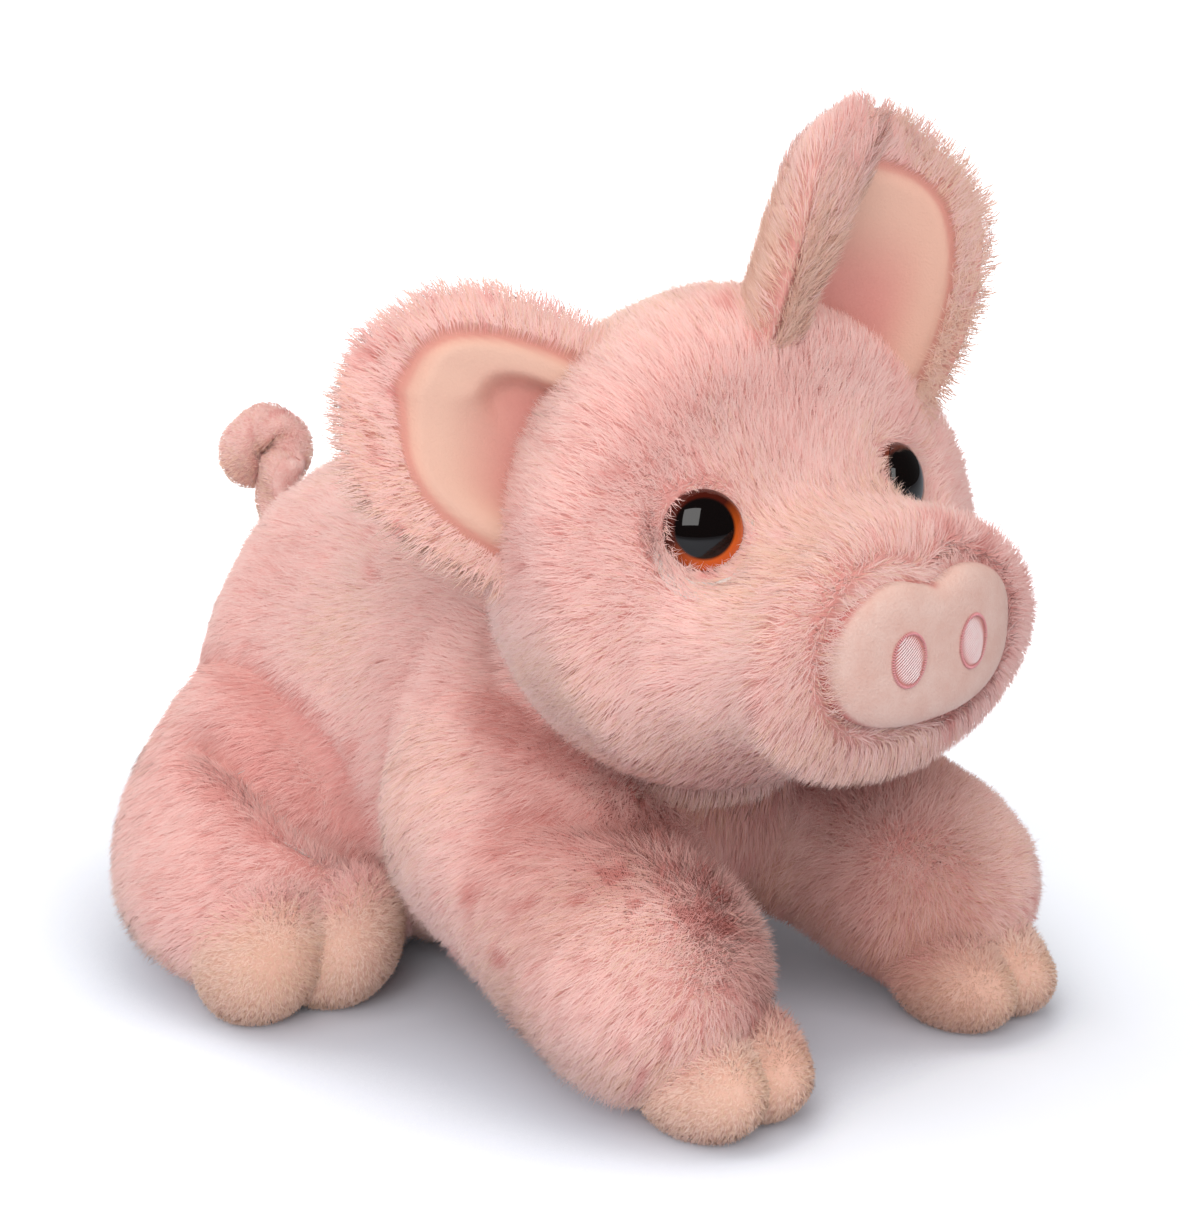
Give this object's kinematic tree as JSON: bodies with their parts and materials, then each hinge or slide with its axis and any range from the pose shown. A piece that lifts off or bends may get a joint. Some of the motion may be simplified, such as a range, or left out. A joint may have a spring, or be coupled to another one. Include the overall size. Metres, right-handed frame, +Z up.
{
  "type": "plush pig",
  "caption": "Soft plush pig lying on its belly with legs spread, pink fur, lined ears, glossy eyes, sewn nose pad, paired toes and a curled tail.",
  "frame": {"origin": "on the ground, below the middle of the toy's overall box", "axes": "+X to the pig's own left, -Y the way it looks, +Z up"},
  "size_m": [0.2398, 0.3172, 0.2741],
  "materials": {
    "fur": "combed pink plush",
    "lining": "short peach-pink pile",
    "hoof": "short peach pile",
    "filling": "loose white polyester fibre",
    "stitch": "satin embroidery thread",
    "eye": "polished, black over amber",
    "amber": "amber, moulded",
    "plastic": "white, moulded"
  },
  "bodies": {
    "trunk": {"body_cover": "fur", "body_filling": "filling"},
    "head": {"head_cover": "fur", "head_filling": "filling", "nose_pad": "lining", "nostril_right": "stitch", "nostril_left": "stitch", "eye_dome_right": "eye", "eye_dome_left": "eye", "eye_plate_right": "amber", "eye_plate_left": "amber", "eye_washer_right": "plastic", "eye_washer_left": "plastic"},
    "tail": {"tail_cord": "lining"},
    "ear_right": {"ear_back_right": "fur", "ear_lining_right": "lining"},
    "front_leg_right": {"front_leg_right_cover": "fur", "front_leg_right_filling": "filling", "front_leg_right_toe_outer": "hoof", "front_leg_right_toe_inner": "hoof"},
    "hind_leg_right": {"hind_leg_right_cover": "fur", "hind_leg_right_filling": "filling", "hind_leg_right_toe_outer": "hoof", "hind_leg_right_toe_inner": "hoof"},
    "ear_left": {"ear_back_left": "fur", "ear_lining_left": "lining"},
    "front_leg_left": {"front_leg_left_cover": "fur", "front_leg_left_filling": "filling", "front_leg_left_toe_outer": "hoof", "front_leg_left_toe_inner": "hoof"},
    "hind_leg_left": {"hind_leg_left_cover": "fur", "hind_leg_left_filling": "filling", "hind_leg_left_toe_outer": "hoof", "hind_leg_left_toe_inner": "hoof"}
  },
  "joints": [
    {"name": "neck_nod", "type": "hinge", "parent": "trunk", "child": "head", "pos_m": [0, -0.0381, 0.1062], "axis": [-1, 0, 0], "range_deg": [-4, 8], "stiffness_Nm_per_rad": 2, "springref_deg": 1.72},
    {"name": "shoulder_lift_right", "type": "hinge", "parent": "trunk", "child": "front_leg_right", "pos_m": [-0.04956, -0.03748, 0.06538], "axis": [-1, 0, 0], "range_deg": [0, 8], "stiffness_Nm_per_rad": 0.5},
    {"name": "hip_lift_right", "type": "hinge", "parent": "trunk", "child": "hind_leg_right", "pos_m": [-0.06006, 0.0969, 0.046], "axis": [-1, 0, 0], "range_deg": [0, 8], "stiffness_Nm_per_rad": 0.5},
    {"name": "shoulder_lift_left", "type": "hinge", "parent": "trunk", "child": "front_leg_left", "pos_m": [0.04956, -0.03748, 0.06538], "axis": [-1, 0, 0], "range_deg": [0, 8], "stiffness_Nm_per_rad": 0.5},
    {"name": "hip_lift_left", "type": "hinge", "parent": "trunk", "child": "hind_leg_left", "pos_m": [0.06006, 0.0969, 0.046], "axis": [-1, 0, 0], "range_deg": [0, 8], "stiffness_Nm_per_rad": 0.5},
    {"name": "ear_fold_right", "type": "hinge", "parent": "head", "child": "ear_right", "pos_m": [-0.04644, -0.05985, 0.17117], "axis": [0.5448, 0.0766, 0.835], "range_deg": [-10, 10], "stiffness_Nm_per_rad": 0.08},
    {"name": "ear_fold_left", "type": "hinge", "parent": "head", "child": "ear_left", "pos_m": [0.03698, -0.07, 0.19964], "axis": [-0.8732, 0.0685, 0.4826], "range_deg": [-10, 10], "stiffness_Nm_per_rad": 0.08},
    {"name": "tail_bend", "type": "hinge", "parent": "trunk", "child": "tail", "pos_m": [0, 0.13331, 0.11618], "axis": [1, 0, 0], "range_deg": [-12, 12], "stiffness_Nm_per_rad": 0.03}
  ]
}
